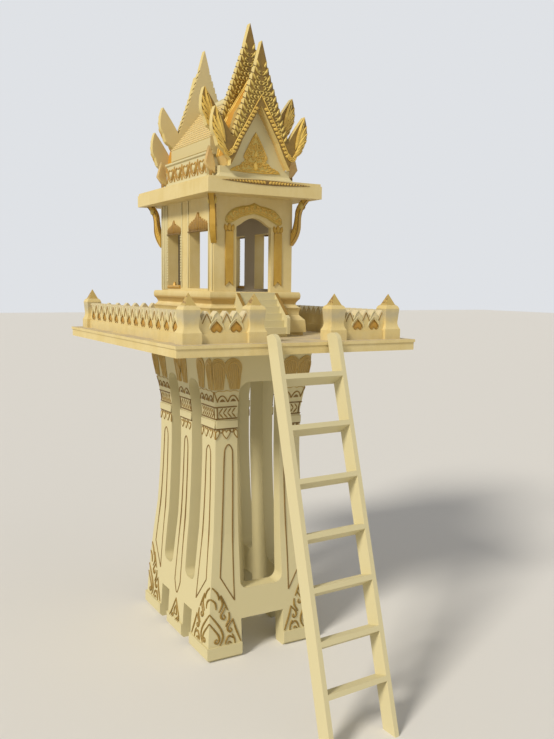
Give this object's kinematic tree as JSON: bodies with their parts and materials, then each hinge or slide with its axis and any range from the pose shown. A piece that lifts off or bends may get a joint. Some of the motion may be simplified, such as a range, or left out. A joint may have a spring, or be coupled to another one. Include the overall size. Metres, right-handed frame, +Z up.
{
  "type": "spirit house",
  "caption": "Cream and gold spirit house on a flared legged pedestal, with a railed deck, stacked gable boards and a leaning ladder.",
  "frame": {"origin": "on the ground under the middle of the whole footprint, ladder included; the deck's centre is 194.5 mm behind it", "axes": "+Z up, +X to the right along the deck's front, the front with the ladder looks along -Y"},
  "size_m": [0.81, 1.425, 2.027],
  "materials": {
    "cream_paint": "cream masonry paint on cast cement",
    "gold_paint": "gold paint on carved cement",
    "roof_paint": "cream and gold paint on cast tiles",
    "amber_paint": "smooth amber gold paint",
    "ladder_paint": "cream paint on wooden boards"
  },
  "bodies": {
    "root": {"pedestal_leg_front_left": "cream_paint", "pedestal_leg_front_right": "cream_paint", "pedestal_leg_back_left": "cream_paint", "pedestal_leg_back_right": "cream_paint", "pedestal_leg_middle_left": "cream_paint", "pedestal_leg_middle_right": "cream_paint", "pedestal_head": "cream_paint", "pedestal_arches": "cream_paint", "pedestal_rails": "cream_paint", "deck_slab": "cream_paint", "corner_posts": "cream_paint", "gate_posts": "cream_paint", "parapet_left": "cream_paint", "parapet_right": "cream_paint", "parapet_back": "cream_paint", "parapet_front": "cream_paint", "house_plinth": "cream_paint", "stair_flight": "cream_paint", "stair_cheeks": "cream_paint", "front_wall_jambs": "cream_paint", "front_wall_head": "cream_paint", "back_wall_jambs": "cream_paint", "back_wall_head": "cream_paint", "left_wall_piers": "cream_paint", "right_wall_piers": "cream_paint", "left_wall_head": "cream_paint", "right_wall_head": "cream_paint", "window_sills": "cream_paint", "eave_slab": "cream_paint", "roof_frieze": "cream_paint", "front_gable_plinth": "cream_paint", "back_gable_plinth": "cream_paint", "front_pediment": "cream_paint", "back_pediment": "cream_paint", "front_gable_board_upper": "gold_paint", "front_gable_board_lower": "gold_paint", "back_gable_board_upper": "gold_paint", "back_gable_board_lower": "gold_paint", "eave_brackets": "gold_paint", "main_roof": "roof_paint", "front_porch_roof": "amber_paint", "back_porch_roof": "amber_paint", "ladder_stile_left": "ladder_paint", "ladder_stile_right": "ladder_paint", "ladder_rungs": "ladder_paint"}
  },
  "joints": []
}
